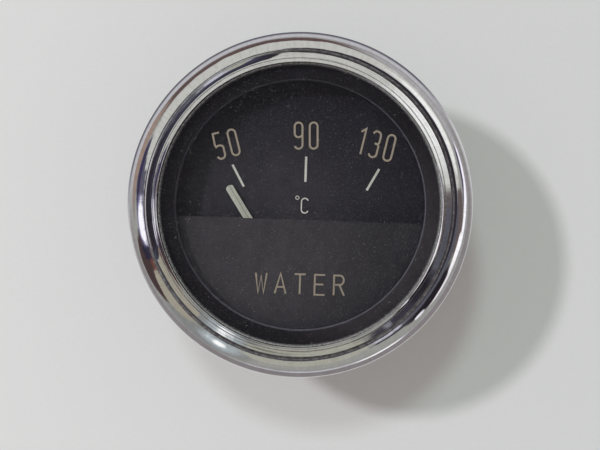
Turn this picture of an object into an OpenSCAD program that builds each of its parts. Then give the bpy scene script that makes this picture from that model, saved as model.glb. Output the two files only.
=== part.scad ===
// Electric water temperature gauge for a round panel hole.
// The origin is the centre of the plane that the bezel seats on a panel with.
// +Z points out of the dial and +Y to 12 o'clock, so everything behind the panel is below zero.

/* [Bezel] */
// Width of the bezel's rim beyond the case
bezel_overhang = 4; // [3.8:0.1:5]
// Thickness of the bezel's sheet
bezel_sheet = 0.6; // [0.5:0.05:0.7]
// Outside radius of the roll round the rim
roll_r = 3.1; // [2.6:0.1:3.6]
// Width of the crease between the roll and the inner bead
crease_w = 0.35; // [0.3:0.05:0.6]
// Outside radius of the small bead round the opening
bead_r = 0.95; // [0.85:0.05:1.15]
// Height of the roll's crest over the bead's
crest_rise = 0.6; // [0.4:0.1:1]
// Height of the straight lip between the glass and the bead
bead_lip_h = 0.55; // [0.4:0.05:0.9]
// Outside radius of the fold where the rim turns under to the panel
fold_r = 0.5; // [0.3:0.05:0.6]
// Space between the bezel's skirt and what it holds
seat_clearance = 0.6; // [0.3:0.05:0.9]

/* [Glass and its seat] */
// Thickness of the glass
glass_t = 2; // [1.6:0.1:2.4]
// Bevel round the glass
glass_bevel = 0.25; // [0.1:0.05:0.4]
// Thickness of the rubber gasket under the glass
gasket_t = 0.6; // [0.4:0.1:1]
// Radial width of the gasket
gasket_w = 3.4; // [2.5:0.1:4]
// Thickness of the spacer ring's sheet
spacer_sheet = 0.5; // [0.4:0.1:0.7]
// Width of the spacer ring that shows inside the bezel
spacer_show = 2.85; // [2.45:0.1:3.65]
// Depth of the spacer ring's turned-down edge
spacer_edge_h = 1.5; // [1.2:0.1:2.5]

/* [Case] */
// Outside diameter of the case, which passes through the panel
case_d = 52; // [51:0.25:53]
// Thickness of the case's sheet
case_wall = 0.8; // [0.6:0.1:1]
// Depth of the case behind the panel seat
case_depth = 38; // [36:0.5:46]
// Outside radius of the case's rear corner
case_corner_r = 1.8; // [1.4:0.1:2.2]
// Space round the case inside the bezel's lip
lip_clearance = 1; // [0.85:0.05:1.2]

/* [Dial] */
// Depth of the dial's face below the spacer ring
dial_depth = 10.6; // [9.6:0.2:12]
// Thickness of the dial plate
dial_t = 0.8; // [0.6:0.1:1]
// Space round the dial plate in the case
dial_clearance = 0.4; // [0.3:0.05:0.6]
// Depth of the mask plate's face below the spacer ring
mask_depth = 4; // [3:0.1:4.6]
// Thickness of the mask plate
mask_t = 0.5; // [0.4:0.1:0.8]
// Distance of the mask plate's straight edge below the centre
mask_drop = 2.6; // [1:0.2:4]
// Width of the mask plate's legs
leg_w = 4; // [3:0.2:5]
// Space round each leg's tab in its slot
slot_clearance = 0.1; // [0.05:0.05:0.3]

/* [Pointer] */
// Distance of the pointer's pivot from the case's inner wall
pivot_inset = 8; // [7.6:0.1:8.6]
// Distance of the pointer's tip from the pivot
pointer_tip_r = 24.2; // [22:0.2:24.8]
// Distance of the pointer's tail end from the pivot
pointer_tail_r = 5.2; // [4.8:0.1:5.6]
// Width of the pointer
pointer_w = 1.4; // [1:0.1:1.8]
// Thickness of the pointer at its edges
pointer_edge_t = 0.2; // [0.15:0.05:0.3]
// Thickness of the pointer at its ridge
pointer_ridge_t = 0.5; // [0.4:0.05:0.8]
// Height of the pointer over the dial
pointer_lift = 1.5; // [1.4:0.1:2]
// Angle of the pointer at rest, left of upright
rest_angle = 33.3; // [31:0.1:35]
// Angle of the pointer at the hot end, right of upright
hot_angle = 32; // [30:0.1:35]
// Radius of the staff
staff_r = 0.5; // [0.4:0.05:0.6]
// Radius of the staff's rear pivot
staff_pivot_r = 0.3; // [0.2:0.05:0.35]
// Radial running clearance of the staff in its bearings
bearing_clearance = 0.04; // [0.02:0.01:0.08]
// Radius of the stop pins
stop_pin_r = 0.6; // [0.4:0.1:0.8]
// Distance of the stop pins from the pivot
stop_pin_ring = 12; // [11.6:0.1:12.4]

/* [Movement] */
// Height of the standoffs between the front bridge and the dial
standoff_h = 2.5; // [2.2:0.1:3.5]
// Thickness of the front bridge
bridge_t = 1; // [0.8:0.1:1.4]
// Thickness of the base plate
base_t = 1.2; // [1:0.1:1.6]
// Space round the base plate in the case
base_clearance = 0.8; // [0.5:0.1:1.2]
// Distance of the base plate's upper edge above the pivot
base_reach = 20.6; // [20:0.1:21.2]
// Radius of the armature vane
armature_r = 4.8; // [4.2:0.1:5]
// Thickness of the armature vane
armature_t = 3.2; // [2.4:0.2:4]
// Half angle of the armature's sector
armature_spread = 52; // [45:1:60]
// Gap between the armature and the poles
pole_gap = 0.5; // [0.4:0.05:0.7]
// Angle of each coil from the gauge's centre line
coil_angle = 45; // [44:0.5:47]
// Length of a bobbin over its flanges
bobbin_l = 11; // [10:0.1:11.4]
// Radius of a bobbin's flanges
bobbin_r = 5.4; // [5:0.1:5.6]
// Thickness of a bobbin's flanges
bobbin_flange_t = 0.8; // [0.6:0.1:1]
// Thickness of a bobbin's tube
bobbin_tube_t = 0.75; // [0.6:0.05:1]
// Depth of the winding below the bobbin's flanges
winding_inset = 0.5; // [0.3:0.1:1]
// Radius of a coil's iron core
core_r = 2; // [1.7:0.05:2.2]
// Length of the core's nose between its pole and the bobbin
core_nose = 1.6; // [1.5:0.1:1.9]
// Space between a core and what it passes through
core_clearance = 0.05; // [0.02:0.01:0.1]
// Space between the bobbins and the plates in front and behind
coil_clearance = 0.7; // [0.4:0.1:1.2]
// Thickness of a coil bracket's sheet
bracket_t = 1; // [0.8:0.1:1.2]
// Width of a coil bracket
bracket_w = 7; // [6:0.2:7.4]
// Length of a coil bracket's foot
bracket_foot = 4.5; // [4.4:0.1:4.9]
// Radius of the enamelled leads
lead_r = 0.3; // [0.2:0.05:0.4]

/* [Screws and posts] */
// Radius of the screws' shanks
screw_r = 1.1; // [0.9:0.05:1.2]
// Radius of the screws' heads
screw_head_r = 2; // [1.8:0.05:2.1]
// Height of the screws' heads
screw_head_h = 1.1; // [0.9:0.1:1.3]
// Space round a screw's shank in its hole
screw_clearance = 0.1; // [0.05:0.05:0.2]
// Radius of the posts and standoffs
post_r = 1.8; // [1.7:0.05:2]
// Radius of the pillars between the base plate and the case
pillar_r = 3; // [2.8:0.1:3.2]

/* [Mounting studs] */
// Distance of each mounting stud in from the side of the case
stud_inset = 8.5; // [8.25:0.125:9]
// Distance of the mounting studs below the centre
stud_drop = 10; // [9.6:0.1:10.6]
// Radius of the mounting studs
stud_r = 2; // [1.9:0.05:2.2]
// Length of each stud behind the case
stud_l = 14; // [13:0.5:16]
// Thickness of each stud's hexagonal shoulder
stud_shoulder_t = 1.2; // [1:0.1:1.6]
// Width of the shoulder over its flats
stud_shoulder_w = 6; // [5.5:0.1:6.2]
// Radius of the stud's shank through the case
stud_shank_r = 1.6; // [1.4:0.05:1.7]
// Length of the shank screwed into its pillar
stud_shank_l = 3.6; // [3:0.1:3.8]

/* [Terminals] */
// Distance between the terminals
terminal_spacing = 14; // [13.4:0.2:14.6]
// Distance of the terminals in from the foot of the case
terminal_inset = 7.2; // [7.1:0.1:7.5]
// Thickness of the terminal board
board_t = 1.6; // [1.2:0.1:2]
// Width of the spade tabs
tab_w = 6.3; // [6:0.1:6.3]
// Thickness of the spade tabs
tab_t = 0.8; // [0.6:0.1:0.8]
// Length of the spade tabs' blades
tab_l = 8; // [7:0.5:9]
// Radius of the terminal rivets
rivet_r = 1.5; // [1.3:0.05:1.6]
// Thickness of the solder tags
tag_t = 0.5; // [0.4:0.1:0.6]

/* [Lamp] */
// Distance of the lamp in from the top of the case
lamp_inset = 11; // [10.6:0.1:11.2]
// Outside radius of the lamp holder's shell
lamp_r = 6; // [5.9:0.05:6.1]
// Radial sliding clearance of the lamp holder in the case
lamp_clearance = 0.05; // [0.02:0.01:0.1]
// Thickness of the lamp holder's sheet
lamp_sheet = 0.6; // [0.5:0.05:0.6]
// Length of the lamp holder inside the case
lamp_inner_l = 8; // [7:0.2:9]
// Length of the lamp holder behind the case
lamp_outer_l = 5.6; // [5.2:0.1:6]
// Radius of the bulb's metal cap
bulb_cap_r = 4.6; // [4.4:0.05:4.6]
// Radius of the bulb's glass
bulb_r = 4.3; // [4:0.05:4.4]
// Length of the bulb's glass
bulb_l = 10; // [9:0.2:11]
// Thickness of the bulb's glass
bulb_wall = 0.5; // [0.4:0.05:0.7]

/* [Hidden] */
$fn = 96;
// Overshoot of every cut past the faces that it opens
eps = 0.5;
// Steps along each rounded stretch of an outline
arc_steps = 14;

// Heights of the stack that the bezel clamps
flange_z = bezel_sheet;
spacer_z = flange_z + case_wall;
gasket_z = spacer_z + spacer_sheet;
glass_z = gasket_z + gasket_t;
glass_top = glass_z + glass_t;
bead_z = glass_top + bead_lip_h;
crest_z = bead_z + bead_r + crest_rise;
roll_z = crest_z - roll_r;

// Radii of the case, the bezel and the stack
case_r = case_d / 2;
case_in_r = case_r - case_wall;
bezel_r = case_r + bezel_overhang;
roll_ring_r = bezel_r - roll_r;
bead_ring_r = roll_ring_r - crease_w - bead_r;
opening_r = bead_ring_r - bead_r;
seat_r = bezel_r - bezel_sheet - seat_clearance;
lip_r = case_r + lip_clearance;
spacer_open_r = opening_r - spacer_show;
pivot_drop = case_in_r - pivot_inset;

// Dial and mask
back_z = -case_depth;
floor_z = back_z + case_wall;
dial_top = gasket_z - dial_depth;
dial_z = dial_top - dial_t;
mask_top = gasket_z - mask_depth;
mask_z = mask_top - mask_t;
dial_r = case_in_r - dial_clearance;
mask_margin = 0.4;
mask_r = dial_r - mask_margin;
leg_margin = 0.7;
leg_ring_r = mask_r - leg_margin;
leg_angles = [200, 270, 340];
leg_shoulder = 0.6;
leg_tab_w = leg_w - 2 * leg_shoulder;
leg_foot_l = 1.5;

// Movement
bridge_z = dial_z - standoff_h - bridge_t;
post_l = 2 * (bobbin_r + coil_clearance);
base_top = bridge_z - post_l;
base_z = base_top - base_t;
base_edge_y = base_reach - pivot_drop;
base_r = case_in_r - base_clearance;
pillar_l = base_z - floor_z;
coil_z = base_top + post_l / 2;
pole_r = armature_r + pole_gap;
bobbin_start = pole_r + core_nose;
bobbin_end = bobbin_start + bobbin_l;
bracket_end = bobbin_end + bracket_t;
core_head_l = 0.6;
core_head_rim = 0.6;
core_head_r = core_r + core_head_rim;
winding_r = bobbin_r - winding_inset;
bobbin_tube_r = core_r + core_clearance + bobbin_tube_t;
bracket_hole = bracket_end + bracket_foot / 2;
bracket_margin = 1.6;
bracket_rise = core_r + bracket_margin;

// Pointer and staff
pointer_z = dial_top + pointer_lift;
boss_r = 1.6;
boss_neck_r = 1;
boss_flange_t = 0.8;
boss_proud = 0.3;
boss_top = pointer_z + pointer_ridge_t + boss_proud;
boss_z = pointer_z - boss_flange_t;
ridge_share = 0.6;
hub_r = 2.1;
weight_r = 1.2;
weight_ring = pointer_tail_r - weight_r;
staff_pivot_l = 1.2;
rear_bearing_head_t = 1;
rear_bearing_tail_l = 2.2;
rear_bearing_top = base_top + rear_bearing_head_t;
rear_bearing_z = base_z - rear_bearing_tail_l;
rear_bearing_r = 2.2;
rear_bearing_head_r = 2.8;
staff_end_gap = 0.1;
armature_hub_r = 1.6;
pin_gap = 0.05;
pin_swing = 2 * asin((pointer_w / 2 + stop_pin_r + pin_gap) / stop_pin_ring / 2);
pin_proud = 0.4;
pin_top = pointer_z + pointer_ridge_t + pin_proud;

// Front bearing
bush_r = 2;
bush_flange_r = 2.6;
bush_flange_t = 0.6;
bush_nose = 0.5;

// Places on the pivot's own axes: two lower posts near the wall and one above the armature
post_side = 9;
post_wall_gap = 1;
post_ring_r = case_in_r - post_wall_gap - post_r;
post_low = pivot_drop - sqrt(post_ring_r * post_ring_r - post_side * post_side);
post_high = 12.2;
post_places = [[-post_side, post_low], [post_side, post_low], [0, post_high]];
post_hole_l = 4;

// Studs, terminals and lamp on the back
stud_place = [case_r - stud_inset, -stud_drop];
pillar_screw_l = 3.4;
terminal_place = [terminal_spacing / 2, terminal_inset - case_r];
hole_gap = 0.05;
bush_wall = 1;
bush_rim = 1;
bush_rim_t = 0.8;
rivet_rim = 0.8;
rivet_head_r = rivet_r + rivet_rim;
rivet_head_t = 0.8;
rivet_head_taper = 0.5;
board_margin = 4;
board_corner_r = 2.4;
board_top_gap = 4.1;
board_foot_gap = 3.1;
board_z = back_z - board_t;
tab_face_z = board_z - tab_t;
tab_rise = 2.6;
tab_foot_drop = 2.4;
tab_nick = 0.8;
tab_hole_r = 0.9;
tab_hole_drop = 5;
bush_end_z = floor_z + bush_rim_t;
tag_top = bush_end_z + tag_t;
tag_margin = 1.2;
tag_r = rivet_r + tag_margin;
tag_tail_w = 1.8;
tag_end_r = 1.1;

// Where each lead leaves its winding, on the coil's own axes, and where it goes down
lead_along = 9;
lead_reach = 1.4;
lead_out = winding_r + lead_reach;
lead_hole_gap = 0.6;
lead_hole_r = lead_r + lead_hole_gap;

// Lamp holder
lamp_rise = case_r - lamp_inset;
lamp_flange_w = 1.6;
lamp_flange_r = lamp_r + lamp_flange_w;
lamp_flange_t = 0.8;
lamp_in_r = lamp_r - lamp_sheet;
lamp_back_z = back_z - lamp_outer_l;
lamp_lip_w = 0.9;
lamp_front_z = back_z + lamp_inner_l;
slit_w = 0.8;
slit_root = 0.6;
insulator_t = 2;
insulator_z = lamp_back_z + lamp_sheet;
contact_r = 2.2;
contact_t = 0.8;
contact_shank_r = 1.2;
contact_top = insulator_z + insulator_t + contact_t;
tab_end_z = back_z - stud_l;
cap_gap = 0.5;
cap_z = contact_top + cap_gap;
cap_inset = 0.5;
cap_top = lamp_front_z - cap_inset;
cap_pin_r = 0.7;
cap_pin_rise = 6;
cap_pin_z = cap_z + cap_pin_rise;
bulb_neck_inset = 0.7;
bulb_neck_r = bulb_r - bulb_neck_inset;
bulb_neck_l = 1.4;
bulb_shoulder_l = 1;

function arc(centre, r, from, to, steps = arc_steps) = [
    for (i = [0:steps])
        let (a = from + (to - from) * i / steps)
        [centre[0] + r * cos(a), centre[1] + r * sin(a)]
];

// A point on a coil's axes: along it from the pivot, and out to the side away from the other coil
function on_coil(side, along, out) = [
    side * (along * sin(coil_angle) + out * cos(coil_angle)),
    along * cos(coil_angle) - out * sin(coil_angle) - pivot_drop
];

module ring(outer_r, inner_r, h) {
    difference() {
        cylinder(r = outer_r, h = h);
        translate([0, 0, -eps]) cylinder(r = inner_r, h = h + 2 * eps);
    }
}

module at_pivot(z) {
    translate([0, -pivot_drop, z]) children();
}

// The pointer and what turns with it, at the rest angle
module turned(z) {
    at_pivot(z) rotate([0, 0, rest_angle]) children();
}

module at_posts(z) {
    at_pivot(z) for (place = post_places) translate(place) children();
}

module at_both(place, z) {
    for (side = [-1, 1]) translate([side * place[0], place[1], z]) children();
}

// Along a coil's axis, with Z pointing away from the pivot and -Y towards the dial
module on_axis(side, along) {
    at_pivot(coil_z)
        rotate([0, 0, -side * coil_angle])
        rotate([-90, 0, 0])
        translate([0, 0, along])
        children();
}

// A screw with a domed, slotted head, its head on top and its shank below
module screw(l) {
    slot_w = 0.5;
    slot_depth = 0.5;
    tip = 0.2;
    dome_steps = 4;
    rim_h = 0.4 * screw_head_h;
    dome = screw_head_h - rim_h;
    difference() {
        rotate_extrude() polygon(concat(
            [[0, -l], [screw_r - tip, -l], [screw_r, tip - l], [screw_r, 0], [screw_head_r, 0]],
            arc([screw_head_r - dome, rim_h], dome, 0, 90, dome_steps),
            [[0, screw_head_h]]
        ));
        translate([-screw_head_r - eps, -slot_w / 2, screw_head_h - slot_depth])
            cube([2 * (screw_head_r + eps), slot_w, slot_depth + eps]);
    }
}

module screw_hole(z, h) {
    translate([0, 0, z - eps]) cylinder(r = screw_r + screw_clearance, h = h + 2 * eps);
}

module tapped_hole(z, h) {
    translate([0, 0, z]) cylinder(r = screw_r, h = h);
}

// The rolled rim, the crease, the inner bead and the lip that presses on the glass
module bezel() {
    crease_share = 0.35;
    roll_turn = 94;
    inner_turn = 86;
    bead_turn = 25;
    crease_z = bead_z + crease_share * bead_r;
    inner_bead_r = bead_r - bezel_sheet;
    inner_roll_r = roll_r - bezel_sheet;
    color([0.86, 0.87, 0.88]) rotate_extrude() polygon(concat(
        [[lip_r, 0]],
        arc([bezel_r - fold_r, fold_r], fold_r, -90, 0),
        arc([roll_ring_r, roll_z], roll_r, 0, roll_turn),
        [[roll_ring_r - crease_w, crease_z]],
        arc([bead_ring_r, bead_z], bead_r, bead_turn, 180),
        [[opening_r, glass_top], [opening_r + bezel_sheet, glass_top]],
        arc([bead_ring_r, bead_z], inner_bead_r, 180, bead_turn),
        [[roll_ring_r - crease_w, crease_z - bezel_sheet]],
        arc([roll_ring_r, roll_z], inner_roll_r, inner_turn, 0),
        [[bezel_r - bezel_sheet, bezel_sheet], [lip_r, bezel_sheet]]
    ));
}

module glass() {
    color([0.75, 0.8, 0.8, 0.3]) rotate_extrude() polygon([
        [0, glass_z],
        [seat_r - glass_bevel, glass_z],
        [seat_r, glass_z + glass_bevel],
        [seat_r, glass_top - glass_bevel],
        [seat_r - glass_bevel, glass_top],
        [0, glass_top]
    ]);
}

module glass_gasket() {
    color([0.08, 0.08, 0.08]) translate([0, 0, gasket_z]) ring(seat_r, seat_r - gasket_w, gasket_t);
}

// A flat flange whose inner edge is rolled over and turned down
module spacer_ring() {
    edge_r = spacer_open_r + spacer_sheet;
    color([0.1, 0.1, 0.11]) rotate_extrude() polygon(concat(
        [[seat_r, spacer_z], [seat_r, gasket_z]],
        arc([edge_r, spacer_z], spacer_sheet, 90, 180),
        [[spacer_open_r, gasket_z - spacer_edge_h]],
        [[edge_r, gasket_z - spacer_edge_h], [edge_r, spacer_z]]
    ));
}

// The half-moon cover on three bent legs, whose tabs fold over behind the dial
module mask_plate() {
    color([0.17, 0.17, 0.18]) union() {
        translate([0, 0, mask_z]) linear_extrude(mask_t) intersection() {
            circle(r = mask_r);
            translate([-mask_r, -2 * mask_r - mask_drop]) square(2 * mask_r);
        }
        for (angle = leg_angles) rotate([0, 0, angle]) {
            translate([leg_ring_r - mask_t, -leg_w / 2, dial_top])
                cube([mask_t, leg_w, mask_top - dial_top]);
            translate([leg_ring_r - mask_t, -leg_tab_w / 2, dial_z - mask_t])
                cube([mask_t, leg_tab_w, dial_t + mask_t]);
            translate([leg_ring_r - leg_foot_l, -leg_tab_w / 2, dial_z - mask_t])
                cube([leg_foot_l, leg_tab_w, mask_t]);
        }
    }
}

// The dial, with slots for the mask's tabs and three windows that let the lamp's light past its edge
module dial_plate() {
    window_w = 1.5;
    window_margin = 0.8;
    window_r = dial_r - window_margin;
    window_half = 12;
    staff_hole_gap = 0.4;
    staff_hole_r = bush_flange_r + staff_hole_gap;
    color([0.13, 0.13, 0.14]) translate([0, 0, dial_z]) linear_extrude(dial_t) difference() {
        circle(r = dial_r);
        translate([0, -pivot_drop]) {
            circle(r = staff_hole_r);
            for (place = post_places) translate(place) circle(r = screw_r + screw_clearance);
            for (angle = [rest_angle + pin_swing, -hot_angle - pin_swing])
                rotate(angle) translate([0, stop_pin_ring]) circle(r = stop_pin_r);
        }
        for (angle = leg_angles) rotate(angle)
            translate([leg_ring_r - mask_t - slot_clearance, -leg_tab_w / 2 - slot_clearance])
            square([mask_t + 2 * slot_clearance, leg_tab_w + 2 * slot_clearance]);
        for (angle = [50, 90, 130]) rotate(angle) intersection() {
            difference() {
                circle(r = window_r);
                circle(r = window_r - window_w);
            }
            polygon([
                [0, 0],
                [2 * dial_r, -2 * dial_r * tan(window_half)],
                [2 * dial_r, 2 * dial_r * tan(window_half)]
            ]);
        }
    }
}

module dial_screws() {
    color([0.6, 0.6, 0.58]) at_posts(dial_top) screw(dial_t + standoff_h + bridge_t + post_hole_l);
}

module dial_standoffs() {
    color([0.72, 0.58, 0.3]) at_posts(bridge_z + bridge_t)
        ring(post_r, screw_r + screw_clearance, standoff_h);
}

module stop_pins() {
    pin_l = pin_top - dial_z;
    color([0.6, 0.6, 0.58]) at_pivot(dial_z)
        for (angle = [rest_angle + pin_swing, -hot_angle - pin_swing])
            rotate([0, 0, angle]) translate([0, stop_pin_ring, 0]) cylinder(r = stop_pin_r, h = pin_l);
}

// A pressed blade with a ridge along it, off centre, and a round hub
module pointer() {
    tip_arc_r = 0.9;
    blade_h = pointer_ridge_t + 2 * eps;
    ridge_x = (ridge_share - 0.5) * pointer_w;
    color([0.86, 0.86, 0.78]) turned(pointer_z) difference() {
        union() {
            cylinder(r = hub_r, h = pointer_edge_t);
            intersection() {
                rotate([90, 0, 0]) translate([0, 0, -pointer_tip_r])
                    linear_extrude(pointer_tip_r + pointer_tail_r) polygon([
                        [-pointer_w / 2, 0],
                        [pointer_w / 2, 0],
                        [pointer_w / 2, pointer_edge_t],
                        [ridge_x, pointer_ridge_t],
                        [-pointer_w / 2, pointer_edge_t]
                    ]);
                union() {
                    translate([-pointer_w, -pointer_tail_r, -eps])
                        cube([2 * pointer_w, pointer_tip_r + pointer_tail_r - tip_arc_r, blade_h]);
                    translate([0, pointer_tip_r - tip_arc_r, -eps]) cylinder(r = tip_arc_r, h = blade_h);
                }
            }
        }
        translate([0, 0, -eps]) cylinder(r = boss_neck_r, h = pointer_ridge_t + 2 * eps);
    }
}

module pointer_boss() {
    color([0.75, 0.62, 0.33]) at_pivot(0) difference() {
        union() {
            translate([0, 0, boss_z]) cylinder(r = boss_r, h = boss_flange_t);
            translate([0, 0, boss_z]) cylinder(r = boss_neck_r, h = boss_top - boss_z);
        }
        translate([0, 0, boss_z - eps]) cylinder(r = staff_r, h = boss_top - boss_z + 2 * eps);
    }
}

// A brass slug under the tail
module pointer_counterweight() {
    slug_h = 0.9;
    color([0.75, 0.62, 0.33]) turned(pointer_z - slug_h) translate([0, -weight_ring, 0])
        cylinder(r = weight_r, h = slug_h);
}

module pointer_staff() {
    staff_z = rear_bearing_top - staff_pivot_l + staff_end_gap;
    shoulder_z = rear_bearing_top + staff_end_gap;
    color([0.55, 0.56, 0.58]) at_pivot(0) rotate_extrude() polygon([
        [0, staff_z],
        [staff_pivot_r, staff_z],
        [staff_pivot_r, shoulder_z],
        [staff_r, shoulder_z],
        [staff_r, boss_top],
        [0, boss_top]
    ]);
}

// A soft iron sector on a hub, which the two coils pull between them
module armature() {
    hub_proud = 1;
    hub_l = armature_t + 2 * hub_proud;
    reach = 2 * armature_r;
    color([0.35, 0.36, 0.38]) turned(coil_z) difference() {
        union() {
            translate([0, 0, -hub_l / 2]) cylinder(r = armature_hub_r, h = hub_l);
            translate([0, 0, -armature_t / 2]) linear_extrude(armature_t) intersection() {
                circle(r = armature_r);
                polygon([
                    [0, -armature_hub_r / 2],
                    [reach * sin(armature_spread), reach * cos(armature_spread)],
                    [0, reach],
                    [-reach * sin(armature_spread), reach * cos(armature_spread)]
                ]);
            }
        }
        translate([0, 0, -hub_l]) cylinder(r = staff_r, h = 2 * hub_l);
    }
}

// Three arms from the bearing to the posts
module front_bridge() {
    arm_w = 3.2;
    end_r = 2.2;
    centre_margin = 1;
    color([0.66, 0.66, 0.64]) at_pivot(bridge_z) linear_extrude(bridge_t) difference() {
        union() {
            circle(r = bush_flange_r + centre_margin);
            for (place = post_places) {
                translate(place) circle(r = end_r);
                rotate(atan2(place[1], place[0])) translate([0, -arm_w / 2]) square([norm(place), arm_w]);
            }
        }
        circle(r = bush_r);
        for (place = post_places) translate(place) circle(r = screw_r + screw_clearance);
    }
}

module front_bearing() {
    bush_top = bridge_z + bridge_t + bush_flange_t;
    bush_z = bridge_z - bush_nose;
    color([0.75, 0.62, 0.33]) at_pivot(0) difference() {
        union() {
            translate([0, 0, bush_z]) cylinder(r = bush_r, h = bush_top - bush_z);
            translate([0, 0, bridge_z + bridge_t]) cylinder(r = bush_flange_r, h = bush_flange_t);
        }
        translate([0, 0, bush_z - eps])
            cylinder(r = staff_r + bearing_clearance, h = bush_top - bush_z + 2 * eps);
    }
}

module bridge_posts() {
    color([0.72, 0.58, 0.3]) at_posts(base_top) difference() {
        cylinder(r = post_r, h = post_l);
        tapped_hole(post_l - post_hole_l, post_hole_l + eps);
        tapped_hole(-eps, post_hole_l + eps);
    }
}

// The D-shaped plate that carries the coils, the posts and the rear bearing
module base_plate() {
    color([0.66, 0.66, 0.64]) difference() {
        translate([0, 0, base_z]) linear_extrude(base_t) intersection() {
            circle(r = base_r);
            translate([-base_r, -2 * base_r + base_edge_y]) square(2 * base_r);
        }
        at_pivot(base_z - eps) cylinder(r = rear_bearing_r, h = base_t + 2 * eps);
        at_posts(0) screw_hole(base_z, base_t);
        at_both(stud_place, 0) screw_hole(base_z, base_t);
        for (side = [-1, 1]) {
            translate(on_coil(side, bracket_hole, 0)) translate([0, 0, base_z - eps])
                cylinder(r = screw_r, h = base_t + 2 * eps);
            translate(on_coil(side, lead_along, lead_out)) translate([0, 0, base_z - eps])
                cylinder(r = lead_hole_r, h = base_t + 2 * eps);
        }
    }
}

// A slotted brass screw with a cup for the staff's pivot
module rear_bearing() {
    slot_w = 0.6;
    slot_depth = 0.8;
    cup_gap = 0.2;
    cup_depth = staff_pivot_l + cup_gap;
    color([0.75, 0.62, 0.33]) at_pivot(0) difference() {
        union() {
            translate([0, 0, rear_bearing_z])
                cylinder(r = rear_bearing_r, h = rear_bearing_top - rear_bearing_z);
            translate([0, 0, base_top])
                cylinder(r = rear_bearing_head_r, h = rear_bearing_top - base_top);
        }
        translate([0, 0, rear_bearing_top - cup_depth])
            cylinder(r = staff_pivot_r + bearing_clearance, h = cup_depth + eps);
        translate([-rear_bearing_r - eps, -slot_w / 2, rear_bearing_z - eps])
            cube([2 * (rear_bearing_r + eps), slot_w, slot_depth + eps]);
    }
}

module bobbin(side) {
    color([0.82, 0.8, 0.72]) on_axis(side, bobbin_start) difference() {
        union() {
            cylinder(r = bobbin_tube_r, h = bobbin_l);
            cylinder(r = bobbin_r, h = bobbin_flange_t);
            translate([0, 0, bobbin_l - bobbin_flange_t]) cylinder(r = bobbin_r, h = bobbin_flange_t);
        }
        translate([0, 0, -eps]) cylinder(r = core_r + core_clearance, h = bobbin_l + 2 * eps);
    }
}

module winding(side) {
    color([0.62, 0.3, 0.16]) on_axis(side, bobbin_start + bobbin_flange_t)
        ring(winding_r, bobbin_tube_r, bobbin_l - 2 * bobbin_flange_t);
}

// An iron core with a hollowed pole face and a riveted outer end
module core(side) {
    color([0.35, 0.36, 0.38]) difference() {
        union() {
            on_axis(side, 0) cylinder(r = core_r, h = bracket_end + core_head_l);
            on_axis(side, bracket_end) cylinder(r = core_head_r, h = core_head_l);
        }
        at_pivot(coil_z - bobbin_r) cylinder(r = pole_r, h = 2 * bobbin_r);
    }
}

// A bent bracket: an upright that holds the core's end, and a foot on the base plate
module bracket(side) {
    upright_l = coil_z - base_top;
    color([0.6, 0.61, 0.62]) on_axis(side, bobbin_end) difference() {
        union() {
            translate([-bracket_w / 2, 0, 0]) cube([bracket_w, upright_l, bracket_t]);
            intersection() {
                cylinder(r = bracket_w / 2, h = bracket_t);
                translate([-bracket_w / 2, -bracket_rise, 0]) cube([bracket_w, bracket_rise, bracket_t]);
            }
            translate([-bracket_w / 2, upright_l - bracket_t, 0])
                cube([bracket_w, bracket_t, bracket_t + bracket_foot]);
        }
        translate([0, 0, -eps]) cylinder(r = core_r + core_clearance, h = bracket_t + 2 * eps);
        translate([0, upright_l + eps, bracket_t + bracket_foot / 2])
            rotate([90, 0, 0])
            cylinder(r = screw_r + screw_clearance, h = bracket_t + 2 * eps);
    }
}

module bracket_screws() {
    color([0.6, 0.6, 0.58]) for (side = [-1, 1])
        translate(on_coil(side, bracket_hole, 0)) translate([0, 0, base_top + bracket_t])
        screw(bracket_t + base_t);
}

module post_screws() {
    color([0.6, 0.6, 0.58]) at_posts(base_z) rotate([180, 0, 0]) screw(base_t + post_hole_l);
}

// A drawn steel cup with a flange, pierced at the back for the studs, the terminals and the lamp
module case_can() {
    corner = [case_r - case_corner_r, back_z + case_corner_r];
    color([0.7, 0.69, 0.63]) difference() {
        rotate_extrude() polygon(concat(
            [[0, back_z]],
            arc(corner, case_corner_r, -90, 0),
            [[case_r, flange_z], [seat_r, flange_z], [seat_r, spacer_z], [case_in_r, spacer_z]],
            arc(corner, case_corner_r - case_wall, 0, -90),
            [[0, floor_z]]
        ));
        at_both(stud_place, back_z - eps)
            cylinder(r = stud_shank_r + hole_gap, h = case_wall + 2 * eps);
        at_both(terminal_place, back_z - eps)
            cylinder(r = rivet_r + hole_gap + bush_wall, h = case_wall + 2 * eps);
        translate([0, lamp_rise, back_z - eps])
            cylinder(r = lamp_r + lamp_clearance, h = case_wall + 2 * eps);
    }
}

module frame_pillars() {
    color([0.72, 0.58, 0.3]) at_both(stud_place, floor_z) difference() {
        cylinder(r = pillar_r, h = pillar_l);
        translate([0, 0, -eps]) cylinder(r = stud_shank_r, h = stud_shank_l + eps);
        tapped_hole(pillar_l - pillar_screw_l, pillar_screw_l + eps);
    }
}

module pillar_screws() {
    color([0.6, 0.6, 0.58]) at_both(stud_place, base_top) screw(base_t + pillar_screw_l);
}

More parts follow.
